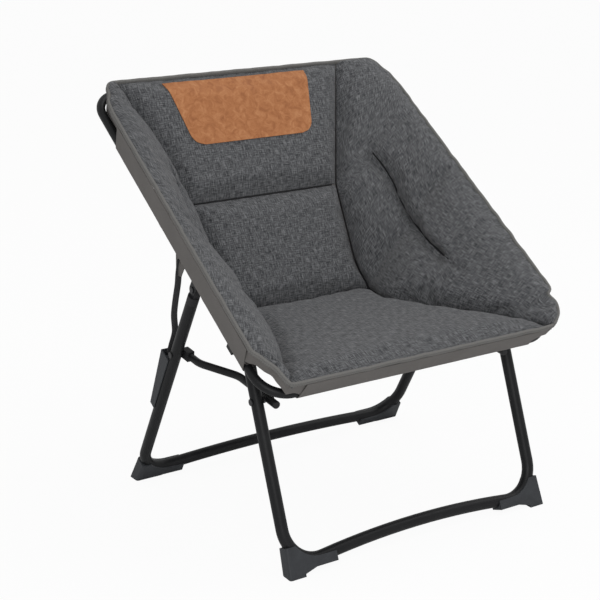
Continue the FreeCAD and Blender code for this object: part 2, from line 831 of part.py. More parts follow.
patch_rows = [(share, lift) for share, lift in zip(upper_shares, upper_lifts)
              if patch_bottom_share <= share <= patch_top_share]
patch_sections = []
for share, lift in patch_rows:
    rise = (share - patch_bottom_share) / (patch_top_share - patch_bottom_share)
    patch_sections.append(patch_section(share, (patch_bottom_width + (patch_top_width - patch_bottom_width) * rise) / 2, lift))
parts["leather_patch"] = loft(patch_sections)


# Strap: webbing that hangs from a cloth tab under the rim and tucks into the leg clip

strap_x = rim_half_width
behind_leg = rear_up.cross(X)
clip_top = link_rear - rear_up * (link_eye_height / 2 + clip_below_link)
tab_at = rear_along + tab_behind_pivot
tab_top = -half_rim - cloth_gap - band_cloth - cloth_gap
tab_low = tab_top - tab_hang
tab_points = [
    on_rim(-strap_x - tab_thickness / 2, tab_at - tab_width / 2, tab_top),
    on_rim(-strap_x - tab_thickness / 2, tab_at + tab_width / 2, tab_top),
    on_rim(-strap_x - tab_thickness / 2, tab_at + tab_foot / 2, tab_low),
    on_rim(-strap_x - tab_thickness / 2, tab_at - tab_foot / 2, tab_low),
]
pair("strap_tab", prism(tab_points, X * tab_thickness))


def strap():
    """Flat ribbon from the tab, bowed out behind the leg, down its back to the mouth of the clip."""
    start = on_rim(0, tab_at, tab_low - cloth_gap)
    touch = link_rear + rear_up * strap_touch + behind_leg * (half_leg + cloth_gap)
    bow = (start + touch) * 0.5 + Vector(0, strap_bow, 0)
    end = clip_top + rear_up * strap_end_gap + behind_leg * (half_leg + clip_wall)
    points = [Vector(-strap_x - strap_width / 2, p.y, p.z) for p in (start, bow, touch, end)]
    shift = Vector(0, strap_thickness, 0)
    return prism(points + [p + shift for p in reversed(points)], X * strap_width)


pair("strap", strap())


# The origin is on the floor under the middle of the chair

whole = Part.makeCompound(list(parts.values()))
box = whole.optimalBoundingBox(False)
middle_y = (box.YMin + box.YMax) / 2
os.makedirs("parts", exist_ok=True)
for name, shape in parts.items():
    placed = shape.copy()
    placed.translate(Vector(0, -middle_y, 0))
    placed.exportStep("parts/" + name + ".step")
    if not placed.isValid() or placed.Volume <= 0:
        print("check", name, placed.isValid(), placed.Volume)
print("size", round(box.XLength, 1), round(box.YLength, 1), round(box.ZLength, 1), "middle", round(middle_y, 3))
for name, point in (("rear pivot", rear_pivot), ("front pivot", front_pivot),
                    ("link rear", link_rear), ("link front", link_front)):
    print(name, round(point.y - middle_y, 3), round(point.z, 3))
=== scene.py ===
import bpy
import math
from mathutils import Matrix, Vector, noise
from mathutils.bvhtree import BVHTree


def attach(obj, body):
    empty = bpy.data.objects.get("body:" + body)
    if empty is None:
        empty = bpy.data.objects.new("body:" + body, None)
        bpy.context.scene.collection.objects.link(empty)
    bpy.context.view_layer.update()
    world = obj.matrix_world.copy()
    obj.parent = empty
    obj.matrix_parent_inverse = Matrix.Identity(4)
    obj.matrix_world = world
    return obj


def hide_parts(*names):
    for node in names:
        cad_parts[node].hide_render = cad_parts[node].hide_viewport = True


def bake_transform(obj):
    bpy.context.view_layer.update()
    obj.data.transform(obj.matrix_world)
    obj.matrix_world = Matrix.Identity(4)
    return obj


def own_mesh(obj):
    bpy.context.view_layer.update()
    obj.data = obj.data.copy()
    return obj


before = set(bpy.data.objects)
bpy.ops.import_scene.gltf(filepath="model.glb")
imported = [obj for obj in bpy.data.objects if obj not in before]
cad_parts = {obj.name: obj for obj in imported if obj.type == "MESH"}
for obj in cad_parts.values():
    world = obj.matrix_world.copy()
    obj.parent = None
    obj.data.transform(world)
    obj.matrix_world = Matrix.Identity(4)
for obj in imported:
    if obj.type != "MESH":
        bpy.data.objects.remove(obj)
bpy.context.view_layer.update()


# Rim hoop and leg frames: round steel tube, bent cold and joined by sleeves inside the rim's sides.
# The tube has a satin black powder coat with a faint orange peel, a little duller in patches.

class Tone:
    """A socket of a material that takes part in sums; each sum adds its Math node."""

    def __init__(self, tree, socket):
        self.tree = tree
        self.socket = socket

    def node(self, kind, settings, inputs, output=0):
        """Any node: its settings are set first, and then the values or links of its sockets."""
        added = self.tree.nodes.new(kind)
        for name, value in settings.items():
            if name == "stops":
                first, last = added.color_ramp.elements
                first.position, first.color = value[0][0], (*value[0][1], 1)
                last.position, last.color = value[-1][0], (*value[-1][1], 1)
                for place, colour in value[1:-1]:
                    added.color_ramp.elements.new(place).color = (*colour, 1)
            else:
                setattr(added, name, value)
        for name, value in inputs.items():
            if isinstance(value, Tone):
                self.tree.links.new(value.socket, added.inputs[name])
            else:
                added.inputs[name].default_value = value
        return Tone(self.tree, added.outputs[output])

    def sum(self, operation, first, second):
        return self.node("ShaderNodeMath", {"operation": operation}, {0: first, 1: second})

    def __add__(self, other):
        return self.sum("ADD", self, other)

    def __sub__(self, other):
        return self.sum("SUBTRACT", self, other)

    def __rsub__(self, other):
        return self.sum("SUBTRACT", other, self)

    def __mul__(self, other):
        return self.sum("MULTIPLY", self, other)

    __radd__ = __add__
    __rmul__ = __mul__

    def grain(self, scale, detail, **more):
        """Noise on these coordinates, with more of its sockets by name."""
        return self.node("ShaderNodeTexNoise", {}, {"Vector": self, "Scale": scale, "Detail": detail, **more})

    def ramp(self, *stops):
        """Colour by this value, from stops of place and colour."""
        return self.node("ShaderNodeValToRGB", {"stops": stops}, {"Fac": self})

    def bump(self, strength, distance):
        """Relief of the surface, with this value as its height."""
        return self.node("ShaderNodeBump", {}, {"Height": self, "Strength": strength, "Distance": distance})

    def into(self, shader, name):
        self.tree.links.new(self.socket, shader.inputs[name])


def new_finish(name, coordinates):
    """Material with its shader and the coordinates that its pattern is laid out on."""
    material = bpy.data.materials.new(name)
    material.use_nodes = True
    tree = material.node_tree
    shader = tree.nodes["Principled BSDF"]
    return material, shader, Tone(tree, tree.nodes.new("ShaderNodeTexCoord").outputs[coordinates])


powder_coat, shader, place = new_finish("powder_coat", "Object")
cloud = place.grain(16.0, 4.0)
cloud.ramp((0.3, (0.0080, 0.0083, 0.0092)), (0.7, (0.0125, 0.0129, 0.0140))).into(shader, "Base Color")
(0.32 + cloud * 0.14).into(shader, "Roughness")
shader.inputs["Specular IOR Level"].default_value = 0.22
place.grain(1100.0, 1.0).bump(0.12, 0.0004).into(shader, "Normal")
weld = 0.00001
smooth_below = math.radians(32)


def pick(piece):
    """Makes a piece the only one that operators act on."""
    bpy.ops.object.select_all(action="DESELECT")
    piece.select_set(True)
    bpy.context.view_layer.objects.active = piece


def joined_copy(node, body):
    """Copy of a CAD node with its loose triangles joined, so that its round faces shade smoothly."""
    piece = bpy.data.objects.new(node + "_finished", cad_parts[node].data.copy())
    bpy.context.scene.collection.objects.link(piece)
    pick(piece)
    bpy.ops.object.mode_set(mode="EDIT")
    bpy.ops.mesh.select_all(action="SELECT")
    bpy.ops.mesh.customdata_custom_splitnormals_clear()
    bpy.ops.mesh.remove_doubles(threshold=weld)
    bpy.ops.mesh.dissolve_degenerate(threshold=weld)
    bpy.ops.object.mode_set(mode="OBJECT")
    bpy.ops.object.shade_smooth_by_angle(angle=smooth_below)
    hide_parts(node)
    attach(piece, body)
    return piece


def dress(piece, material):
    """One finish all over a piece."""
    piece.data.materials.clear()
    piece.data.materials.append(material)


tubes = {
    "rim_front_hoop": "rim",
    "rim_rear_hoop": "rim",
    "front_leg_frame": "front_legs",
    "rear_leg_frame": "rear_legs",
    "link_tube_left": "left_link",
    "link_tube_right": "right_link",
}
for node, body in tubes.items():
    dress(joined_copy(node, body), powder_coat)
for name in ("rear_bracket", "front_bracket", "rim_joint"):
    for hand in ("_left", "_right"):
        dress(joined_copy(name + hand, "rim"), powder_coat)


# Feet, hinge plugs, link ends and leg clips: moulded plastic with eased edges and a fine spark grain.
# The feet grip the tube's floor corners, the plugs sit in the tube ends and the clips hug the rear legs.

def spark_grain(name, *stops):
    """Moulded plastic: scuffed in broad clouds, with the fine pitted grain of a sparked mould."""
    material, shader, place = new_finish(name, "Object")
    scuff = place.grain(38.0, 6.0, Roughness=0.65)
    scuff.ramp(*stops).into(shader, "Base Color")
    (0.50 + scuff * 0.16).into(shader, "Roughness")
    shader.inputs["Specular IOR Level"].default_value = 0.35
    place.grain(1500.0, 2.0).bump(0.2, 0.0005).into(shader, "Normal")
    return material


moulding = spark_grain(
    "moulding",
    (0.3, (0.028, 0.030, 0.034)),
    (0.62, (0.040, 0.043, 0.048)),
    (0.8, (0.060, 0.062, 0.067)),
)
black_moulding = spark_grain(
    "black_moulding",
    (0.3, (0.011, 0.011, 0.013)),
    (0.62, (0.017, 0.017, 0.019)),
    (0.8, (0.028, 0.028, 0.030)),
)
flat_within = math.radians(2.0)
sharp_above = math.radians(40)


def eased_copy(node, body, ease):
    """Moulded copy of a CAD node: flat faces made whole again, then every sharp edge eased."""
    piece = joined_copy(node, body)
    bpy.ops.object.mode_set(mode="EDIT")
    bpy.ops.mesh.select_all(action="SELECT")
    bpy.ops.mesh.dissolve_limited(angle_limit=flat_within)
    bpy.ops.object.mode_set(mode="OBJECT")
    bevel = piece.modifiers.new("eased", "BEVEL")
    bevel.width = ease
    bevel.segments = 3
    bevel.limit_method = "ANGLE"
    bevel.angle_limit = sharp_above
    bpy.ops.object.modifier_apply(modifier="eased")
    bpy.ops.object.shade_smooth_by_angle(angle=sharp_above)
    return piece


for hand in ("_left", "_right"):
    link_body = "left_link" if hand == "_left" else "right_link"
    for name, body, ease, finish in (("front_foot", "front_legs", 0.0016, moulding),
                                     ("rear_foot", "rear_legs", 0.0016, moulding),
                                     ("leg_clip", "rear_legs", 0.0007, moulding),
                                     ("front_hinge_plug", "front_legs", 0.0008, black_moulding),
                                     ("rear_hinge_plug", "rear_legs", 0.0008, black_moulding),
                                     ("link_eye", link_body, 0.0010, black_moulding),
                                     ("link_cap", link_body, 0.0004, black_moulding)):
        dress(eased_copy(name + hand, body, ease), finish)


# Rivets: black steel, headed on both sides of each pivot.
# The heads are spun over, so their rims are eased, and the paint is a little worn in spots.

rivet_paint, shader, place = new_finish("rivet_paint", "Object")
wear = place.grain(220.0, 4.0)
wear.ramp((0.45, (0.016, 0.016, 0.018)), (0.75, (0.050, 0.050, 0.052))).into(shader, "Base Color")
(0.30 + wear * 0.2).into(shader, "Roughness")
(wear * 0.5).into(shader, "Metallic")
rivet_ease = 0.0009
for hand in ("_left", "_right"):
    link_body = "left_link" if hand == "_left" else "right_link"
    for name, body in (("rear_pivot_rivet", "rim"),
                       ("front_pivot_rivet", "rim"),
                       ("link_rear_rivet", "rear_legs"),
                       ("link_front_rivet", "front_legs"),
                       ("link_button", link_body)):
        dress(eased_copy(name + hand, body, rivet_ease), rivet_paint)


# Seat and back pads: stuffed panels of heathered charcoal cloth, woven like linen, sewn along their edges.
# Each is a sheet blown up between its seams and closed underneath, so that it rolls into the seams.

heather, shader, place = new_finish("heather", "UV")


def slubs(across, along, seed):
    """Uneven threads: noise drawn out along one direction of the weave."""
    inputs = {"Vector": place, "Scale": (across, along, 1.0), "Location": (seed, seed, 0.0)}
    return place.node("ShaderNodeMapping", {}, inputs).grain(1.0, 2.0, Roughness=0.5)


threads_across, slubs_along = 660.0, 58.0
warp = slubs(threads_across, slubs_along, 3.0)
weft = slubs(slubs_along, threads_across, 7.0)
flecks = slubs(800.0, 800.0, 11.0)
weave_pitch = 3900.0
sideways = place.node("ShaderNodeSeparateXYZ", {}, {"Vector": place}, "X")
lengthways = place.node("ShaderNodeSeparateXYZ", {}, {"Vector": place}, "Y")
over = place.node("ShaderNodeMath", {"operation": "SINE"}, {0: sideways * weave_pitch})
under = place.node("ShaderNodeMath", {"operation": "SINE"}, {0: lengthways * weave_pitch})
tint = (warp - 0.5) * 1.9 + (weft - 0.5) * 1.6 + (flecks - 0.5) * 0.8 + 0.5
dark, middling, pale = (0.028, 0.029, 0.032), (0.080, 0.082, 0.087), (0.180, 0.183, 0.189)
tint.ramp((0.12, dark), (0.5, middling), (0.9, pale)).into(shader, "Base Color")
shader.inputs["Roughness"].default_value = 0.92
shader.inputs["Sheen Weight"].default_value = 0.12
shader.inputs["Specular IOR Level"].default_value = 0.25
shader.inputs["Sheen Roughness"].default_value = 0.6
relief = (over * under) * 0.25 + (warp + weft) * 0.5 + flecks * 0.3
relief.bump(0.35, 0.0010).into(shader, "Normal")

rim_tilt = math.radians(33.5)
rim_origin = Vector((0, -65.351, 555))


def on_rim(x, along, out):
    """Point from its mm sideways, its mm up along the tilted rim and its mm above the rim's plane."""
    y = along * math.cos(rim_tilt) - out * math.sin(rim_tilt)
    z = along * math.sin(rim_tilt) + out * math.cos(rim_tilt)
    return (Vector((x, y, z)) + rim_origin) / 1000


def even(u, v):
    """Rows of a grid as they are."""
    return u, v


def crowded(u, v):
    """Rows of a grid drawn together towards the seams, where a pad bends most."""
    return u - 0.11 * math.sin(2 * math.pi * u), v - 0.11 * math.sin(2 * math.pi * v)


def cloth_grid(name, across, along, shape, facing, lay=even):
    """Sheet of cloth: a grid placed by shape(u, v), with a UV map in metres measured along its threads."""
    bpy.ops.object.select_all(action="DESELECT")
    bpy.ops.mesh.primitive_grid_add(x_subdivisions=across, y_subdivisions=along, size=1)
    sheet = bpy.context.object
    sheet.name = name
    points = sheet.data.vertices
    for point in points:
        point.co = shape(*lay(point.co.x + 0.5, point.co.y + 0.5))
    wide = across + 1
    climb = 0.0
    measured = []
    for row in range(along + 1):
        first = row * wide
        middle = first + across // 2
        if row:
            climb += (points[middle].co - points[middle - wide].co).length
        reach = [0.0]
        for i in range(first + 1, first + wide):
            reach.append(reach[-1] + (points[i].co - points[i - 1].co).length)
        measured += [(distance - reach[across // 2], climb) for distance in reach]
    for loop, spot in zip(sheet.data.loops, sheet.data.uv_layers.active.data):
        spot.uv = measured[loop.vertex_index]
    sheet.data.update()
    lean = sum((polygon.normal * polygon.area for polygon in sheet.data.polygons), Vector())
    if lean.dot(facing) < 0:
        sheet.data.flip_normals()
    return sheet


def border(sheet, across, along):
    """Points round the edge of a grid of cloth."""
    wide = across + 1
    return [i for i in range(len(sheet.data.vertices))
            if i % wide in (0, across) or i // wide in (0, along)]


def stuff(sheet, sewn, slack, cap):
    """Blows a sheet up between its sewn points, with the slack that puckers the cloth along them."""
    steps = 20
    rest = [vertex.co.copy() for vertex in sheet.data.vertices]
    sheet.vertex_groups.new(name="sewn").add(sewn, 1.0, "REPLACE")
    cloth = sheet.modifiers.new("stuffing", "CLOTH")
    cloth.settings.quality = 6
    cloth.settings.mass = 0.2
    cloth.settings.tension_stiffness = 12
    cloth.settings.compression_stiffness = 12
    cloth.settings.shear_stiffness = 5
    cloth.settings.bending_stiffness = 0.6
    cloth.settings.air_damping = 6
    cloth.settings.use_pressure = True
    cloth.settings.uniform_pressure_force = 4
    cloth.settings.shrink_min = -slack
    cloth.settings.vertex_group_mass = "sewn"
    cloth.settings.effector_weights.gravity = 0
    cloth.point_cache.frame_end = steps
    for step in range(1, steps + 1):
        bpy.context.scene.frame_set(step)
    pick(sheet)
    bpy.ops.object.modifier_apply(modifier="stuffing")
    bpy.context.scene.frame_set(1)
    for vertex, start in zip(sheet.data.vertices, rest):
        move = vertex.co - start
        if move.length > cap:
            vertex.co = start + move * (cap / move.length)


def thicken(sheet, thickness, offset):
    """Gives a sheet its thickness: an offset of -1 is below its face, 0 on both sides and 1 above it."""
    pick(sheet)
    wall = sheet.modifiers.new("wall", "SOLIDIFY")
    wall.thickness = thickness
    wall.offset = offset
    bpy.ops.object.modifier_apply(modifier="wall")


pad_depth = 0.004


def close_pad(sheet):
    """Finer cloth over the stuffing, closed underneath."""
    pick(sheet)
    fine = sheet.modifiers.new("fine", "SUBSURF")
    fine.levels = 1
    fine.render_levels = 1
    bpy.ops.object.modifier_apply(modifier="fine")
    thicken(sheet, pad_depth, -1)
    bpy.ops.object.shade_smooth()


def roll(t, firm):
    """Height of a stuffed pad across its width, t from -1 to 1, as a share of its crown."""
    return max(0.0, 1 - abs(t) ** firm) ** 0.5


front_along, front_rise = -347, 50
top_along, top_rise = 497, 62
junction = on_rim(0, 12, -187.4)
seat_line = on_rim(0, front_along, front_rise) - junction
back_line = on_rim(0, top_along, top_rise) - junction
seat_normal = Vector((0, seat_line.z, -seat_line.y)).normalized()
back_normal = Vector((0, -back_line.z, back_line.y)).normalized()
askew = 0.037
neck_half = 0.176
seat_neck = 0.251
seam = 0.4666
seam_half = 0.188
corner_flare, seat_flare, top_flare = 0.018, 0.147, 0.096


def seat_edge(t, share):
    """Point of the seat's base, t from -1 at the left crease to 1 at the right, share from back to front."""
    half = neck_half + seat_flare * max(0.0, (share - seat_neck) / (1 - seat_neck))
    if t > 0:
        half += corner_flare * math.exp(-(share / 0.1) ** 2)
    return junction + seat_line * share + Vector((t * half - askew * (1 - share), 0, 0))


def back_edge(t, share):
    """Point of the back's base, t from the left crease to the right one, share from junction to top."""
    if share < seam:
        half = neck_half + (seam_half - neck_half) * share / seam
    else:
        half = seam_half + top_flare * (share - seam) / (1 - seam)
    if t > 0:
        half += corner_flare * math.exp(-(share / 0.08) ** 2)
    return junction + back_line * share + Vector((t * half - askew, 0, 0))


pad_crown = 0.020
pad_slack, pad_cap = 0.015, 0.006


def pad(name, node, across, along, edge, normal, run, inset, firm):
    """Cushion over a run of the seat's or the back's panel, with its firmness across and along."""

    def shape(u, v):
        lift = pad_crown * roll(2 * u - 1, firm[0]) * roll(2 * v - 1, firm[1]) - pad_depth
        return edge((2 * u - 1) * inset, run[0] + (run[1] - run[0]) * v) + normal * lift

    sheet = cloth_grid(name, across, along, shape, normal, crowded)
    stuff(sheet, border(sheet, across, along), pad_slack, pad_cap)
    close_pad(sheet)
    dress(sheet, heather)
    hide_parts(node)
    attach(sheet, "rim")
    return sheet


pad("seat_cushion", "seat_pad", 64, 56, seat_edge, seat_normal, (0.005, 0.998), 0.994, (9, 10))
lower_run, upper_run = (0.004, seam - 0.002), (seam + 0.002, 0.998)
pad("lower_back_cushion", "back_lower_pad", 48, 34, back_edge, back_normal, lower_run, 0.995, (9, 8))
upper_back = pad("upper_back_cushion", "back_upper_pad", 60, 40, back_edge, back_normal,
                 upper_run, 0.997, (10, 8))


# Wing pads: stuffed sides from the seat and back creases up to the sewn edge, of the same heathered cloth.
# A slanting row of stitches pulls a tuck into the middle of each, and the stuffing puckers at its ends.

mouth_half = 368
top_turn, front_turn = 420, -259
notch = 0.2


def edge_at(side, along):
    """Sewn edge beside the rim, in mm sideways, up the rim and above it. It turns in towards the top and
    the front, where a dart draws it in and the cushion bulges in a lobe below, more on the right side."""
    over = max(0.0, along - top_turn) / (top_along - top_turn)
    under = max(0.0, front_turn - along) / (front_turn - front_along)
    bulge = math.sin(math.pi * max(0.0, under - notch) / (1 - notch))
    lobe = (4 + 8 * side) * bulge - (8 + 4 * side) * math.exp(-((under - notch) / 0.07) ** 2)
    lobe += 1.5 * bulge * math.sin(6 * math.pi * under)
    scallop = 3.5 * math.sin(2 * math.pi * over) ** 2 - 3 * math.exp(-((along - top_turn) / 9) ** 2)
    waver = noise.noise(Vector((along * 0.035, side * 3.0, 0.0))) * 2.0
    x = mouth_half - 29 * over - 45 * under + 0.89 * lobe + 0.9 * scallop + waver
    rise = top_rise - (top_rise - front_rise) * under + 4 * bulge + 0.5 * waver
    return Vector((side * x, along - 0.455 * lobe + 0.3 * scallop, rise))


def crease_at(side, share):
    """Point of the crease beside a wing, share below 0 on the seat and above 0 on the back."""
    return seat_edge(side, -share) if share < 0 else back_edge(side, share)


def along_stations(points, v):
    """Smooth curve through points, v from 0 to 1."""
    place = v * (len(points) - 1)
    i = min(int(place), len(points) - 2)
    t = place - i
    a, b, c, d = points[max(i - 1, 0)], points[i], points[i + 1], points[min(i + 2, len(points) - 1)]
    square = a * 2 - b * 5 + c * 4 - d
    cube = b * 3 - a - c * 3 + d
    return (b * 2 + (c - a) * t + square * t * t + cube * t ** 3) * 0.5


shares = [-0.998, -0.93, -0.78, -0.5, -seat_neck, 0, 0.4 * seam, 0.7 * seam, seam, 0.733, 0.92, 0.998]
alongs = [-346, -304, -233, -91, 25, 126, 210, 277, 336, 391, 454, 496]
wing_lifts = [0.3, 0.6, 0.85, 1.0, 1.0, 0.95, 0.9, 0.9, 0.85, 0.8, 0.6, 0.3]


def wing_surface(side, rise):
    """Shape of one wing: a function of u from the crease to the sewn edge and v from the front to the top."""
    creases = [crease_at(side, share) for share in shares]
    edges = [on_rim(*edge_at(side, along)) for along in alongs]
    ups = []
    for i in range(len(creases)):
        low = max(i - 1, 0)
        high = min(i + 1, len(creases) - 1)
        run = creases[high] - creases[low] + edges[high] - edges[low]
        ups.append((edges[i] - creases[i]).cross(run).normalized() * side)

    def shape(u, v):
        crease = crease_at(side, along_stations(shares, v))
        edge = on_rim(*edge_at(side, along_stations(alongs, v)))
        up = along_stations(ups, v).normalized()
        place = v * (len(wing_lifts) - 1)
        i = min(int(place), len(wing_lifts) - 2)
        lift = wing_lifts[i] + (wing_lifts[i + 1] - wing_lifts[i]) * (place - i)
        return crease + (edge - crease) * (0.003 + 0.997 * u) + up * (rise(u, v) * lift - pad_depth * (1 - u))

    return shape


tuck_from, tuck_to = 0.325, 0.705
dart_at = 0.126


def tuck_at(v):
    """Place of the tuck across the wing, bowed so that it looks straight on the curved cushion."""
    t = (min(max(v, tuck_from), tuck_to) - tuck_from) / (tuck_to - tuck_from)
    return 0.41 + 0.43 * t - 0.46 * t * t


def beside_tuck(a, v):
    """Columns of the wing's grid: one runs down the tuck, and they crowd towards it and towards the seams."""
    t = a - 0.06 * math.sin(4 * math.pi * a)
    middle = tuck_at(v)
    u = 2 * t * middle if t < 0.5 else middle + (2 * t - 1) * (1 - middle)
    return u, v - 0.05 * math.sin(2 * math.pi * v)


def wing_rise(u, v):
    """Height of a wing's stuffing over its base, drawn in by the tuck and by the dart at the front corner."""
    crown, tuck_depth, swell, pucker = 0.027, 0.022, 0.008, 0.006
    inside = min(v - tuck_from, tuck_to - v)
    pull = max(0.0, min(1.0, inside / 0.02 + 0.5))
    beside = u - tuck_at(v)
    tuck = tuck_depth * math.exp(-abs(beside) / 0.026) - swell * math.exp(-((beside - 0.09) / 0.05) ** 2)
    dart = max(0.0, min(1.0, (u - 0.3) / 0.4)) * math.exp(-abs((v - dart_at) / 0.013) ** 1.2)
    fan = 0.0
    for end in (tuck_from, tuck_to):
        across = 0.28 * (u - tuck_at(end))
        along = 0.85 * (v - end)
        away = math.hypot(across, along)
        rays = math.cos(5 * math.atan2(across, along)) * min(1.0, away / 0.008)
        fan += pucker * math.exp(-(away / 0.028) ** 2) * rays
    return crown * roll(2 * u - 1, 5) * (1 - 0.75 * dart) - pull * tuck + fan


wing_slack, wing_cap = 0.025, 0.009
stitch_pull, stitch_clear = 0.010, 0.0050
tuck_lines = {}
for side, hand in ((-1, "left"), (1, "right")):
    across, along = 40, 120
    shape = wing_surface(side, wing_rise)
    wing = cloth_grid(hand + "_wing_cushion", across, along, shape, Vector((-side, 0, 0.3)), beside_tuck)
    rows = [beside_tuck(0.5, row / along)[1] for row in range(along + 1)]
    dart_row = min(range(along + 1), key=lambda row: abs(rows[row] - dart_at))
    sewn = border(wing, across, along)
    sewn += [row * (across + 1) + across // 2 for row in range(along + 1) if tuck_from < rows[row] < tuck_to]
    sewn += [dart_row * (across + 1) + column for column in range(across // 2, across)]
    stuff(wing, sewn, wing_slack, wing_cap)
    points = wing.data.vertices
    stitched = []
    for row in range(along + 1):
        inside = min(rows[row] - tuck_from, tuck_to - rows[row])
        if inside > -0.012:
            pull = min(1.0, max(0.0, inside / 0.03 + 0.4))
            middle = row * (across + 1) + across // 2
            bottom = points[middle].co.copy()
            down = points[middle].normal * (-stitch_pull * pull)
            for i in range(middle - across // 2 + 2, middle + across // 2 - 1):
                fade = 0.004 if i < middle else 0.010
                points[i].co += down * math.exp(-(points[i].co - bottom).length / fade)
            stitched.append(points[middle].co.copy() - down.normalized() * stitch_clear)
    close_pad(wing)
    dress(wing, heather)
    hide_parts("wing_pad_" + hand)
    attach(wing, "rim")
    tuck_lines[hand] = stitched[::6]


# Leather-look patch: one thin tan trapezoid with rounded lower corners, sewn flat on the upper back.
# The sheet is mottled, finely creased and satin.

tan_leather, shader, place = new_finish("tan_leather", "UV")
mottle = place.grain(56.0, 8.0, Roughness=0.7, Distortion=0.9)
veins = place.node("ShaderNodeTexVoronoi", {"feature": "DISTANCE_TO_EDGE"}, {"Vector": place, "Scale": 160.0})
deep, tan, light = (0.280, 0.095, 0.030), (0.398, 0.154, 0.055), (0.505, 0.231, 0.100)
mottle.ramp((0.31, deep), (0.5, tan), (0.69, light)).into(shader, "Base Color")
(0.55 + mottle * 0.2).into(shader, "Roughness")
shader.inputs["Specular IOR Level"].default_value = 0.3
(veins * 0.4 + mottle).bump(0.2, 0.0008).into(shader, "Normal")
cushion_skin = BVHTree.FromPolygons([v.co.copy() for v in upper_back.data.vertices],
                                    [tuple(p.vertices) for p in upper_back.data.polygons])
patch_height, patch_half, patch_flare = 0.152, 0.150, 0.032
patch_corner, patch_margin, patch_clear = 0.026, 0.016, 0.0006
leather_thickness = 0.0014


def patch_place(u, v):
    """Point of the patch, u across and v up, laid on the cushion's skin."""
    rise = patch_height * v
    half = patch_half + patch_flare * v
    if rise < patch_corner:
        half -= patch_corner - math.sqrt(patch_corner ** 2 - (patch_corner - rise) ** 2)
    share = (back_line.length - patch_margin - patch_height + rise) / back_line.length
    base = junction + back_line * share + Vector((half * (2 * u - 1) - askew, 0, 0))
    hit = cushion_skin.ray_cast(base + back_normal * 0.1, -back_normal)[0]
    return hit + back_normal * patch_clear


patch = cloth_grid("tan_patch", 60, 34, patch_place, back_normal)
thicken(patch, leather_thickness, 1)
bpy.ops.object.shade_smooth_by_angle(angle=sharp_above)
dress(patch, tan_leather)
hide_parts("leather_patch")
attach(patch, "rim")


# Outer panels: the plain canvas that backs the cushions and makes the outside of the bucket.
# Flat pieces of warm grey cloth, sewn to the cushions along the creases and stretched by the rim.

canvas, shader, place = new_finish("canvas", "UV")
threads = place.node("ShaderNodeMapping", {}, {"Vector": place, "Scale": (900.0, 900.0, 1.0)}).grain(1.0, 2.0)
shade = threads * 0.6 + place.grain(9.0, 3.0) * 0.4
shade.ramp((0.3, (0.108, 0.102, 0.097)), (0.7, (0.160, 0.150, 0.143))).into(shader, "Base Color")
shader.inputs["Roughness"].default_value = 0.8
shader.inputs["Specular IOR Level"].default_value = 0.3
threads.bump(0.25, 0.0006).into(shader, "Normal")
canvas_thickness = 0.0014


def cloth_panel(sheet, node, flat, rests_on):
    """Thin canvas from a grid: its thickness, its finish, and the node that it stands for, if any, hidden;
    its area is reckoned but not kept.
    """
    area = sum(polygon.area for polygon in sheet.data.polygons)
    thicken(sheet, canvas_thickness, 0)
    bpy.ops.object.shade_smooth_by_angle(angle=math.radians(50))
    dress(sheet, canvas)
    min(area, flat[0] * flat[1])
    if node:
        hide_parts(node)
    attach(sheet, "rim")


def behind(edge, normal):
    """Shape of the panel behind the seat or the back, which sags a little in its middle."""

    def shape(u, v):
        drop = 0.0052 + 0.004 * math.sin(math.pi * u) * math.sin(math.pi * v)
        return edge(2 * u - 1, 0.004 + 0.981 * v) - normal * drop

    return shape


def wing_outside(u, v):
    """Height of a wing's outer panel, just under the cushion."""
    return -0.0050 - 0.001 * math.sin(math.pi * u)


seat_outer = cloth_grid("seat_outer_panel", 40, 30, behind(seat_edge, seat_normal), -seat_normal)
cloth_panel(seat_outer, "seat_backing", (0.65, 0.44), ["seat_cushion"])
back_outer = cloth_grid("back_outer_panel", 40, 36, behind(back_edge, back_normal), -back_normal)
cloth_panel(back_outer, "back_backing", (0.57, 0.55), ["upper_back_cushion"])
for side, hand in ((-1, "left"), (1, "right")):
    shape = wing_surface(side, wing_outside)
    outer = cloth_grid(hand + "_wing_outer_panel", 24, 70, shape, Vector((side, 0, -0.3)))
    cloth_panel(outer, "wing_backing_" + hand, (0.34, 0.9), [hand + "_wing_cushion"])


# Crease shade tapes: near-black twill tapes below the seams where two cushions meet, and along the wings'
# tucks.
# They close each crease from below, and their near-black colour is painted shade: a dark shadow line in each
# crease.

# Near-black colour of the tapes: painted shade for the creases and tucks, not the cloth's own colour.
crease_shade_twill, shader, place = new_finish("crease_shade_twill", "UV")
slant = {"Vector": place, "Scale": (700.0, 700.0, 1.0), "Rotation": (0.0, 0.0, 0.8)}
ridges = place.node("ShaderNodeMapping", {}, slant).grain(1.0, 2.0)
ridges.ramp((0.3, (0.010, 0.010, 0.011)), (0.7, (0.022, 0.022, 0.023))).into(shader, "Base Color")
shader.inputs["Roughness"].default_value = 0.9
shader.inputs["Specular IOR Level"].default_value = 0.2


def closed_tube(name, across, along, shape):
    """Tube of cloth from a grid: joined where its edges meet, filled at its ends and facing outwards."""
    tube = cloth_grid(name, across, along, shape, Vector((0, 0, 1)))
    bpy.ops.object.mode_set(mode="EDIT")
    bpy.ops.mesh.select_all(action="SELECT")
    bpy.ops.mesh.remove_doubles(threshold=0.00005)
    bpy.ops.mesh.fill_holes(sides=0)
    bpy.ops.mesh.normals_make_consistent(inside=False)
    bpy.ops.object.mode_set(mode="OBJECT")
    bpy.ops.object.shade_smooth_by_angle(angle=math.radians(60))
    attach(tube, "rim")
    return tube


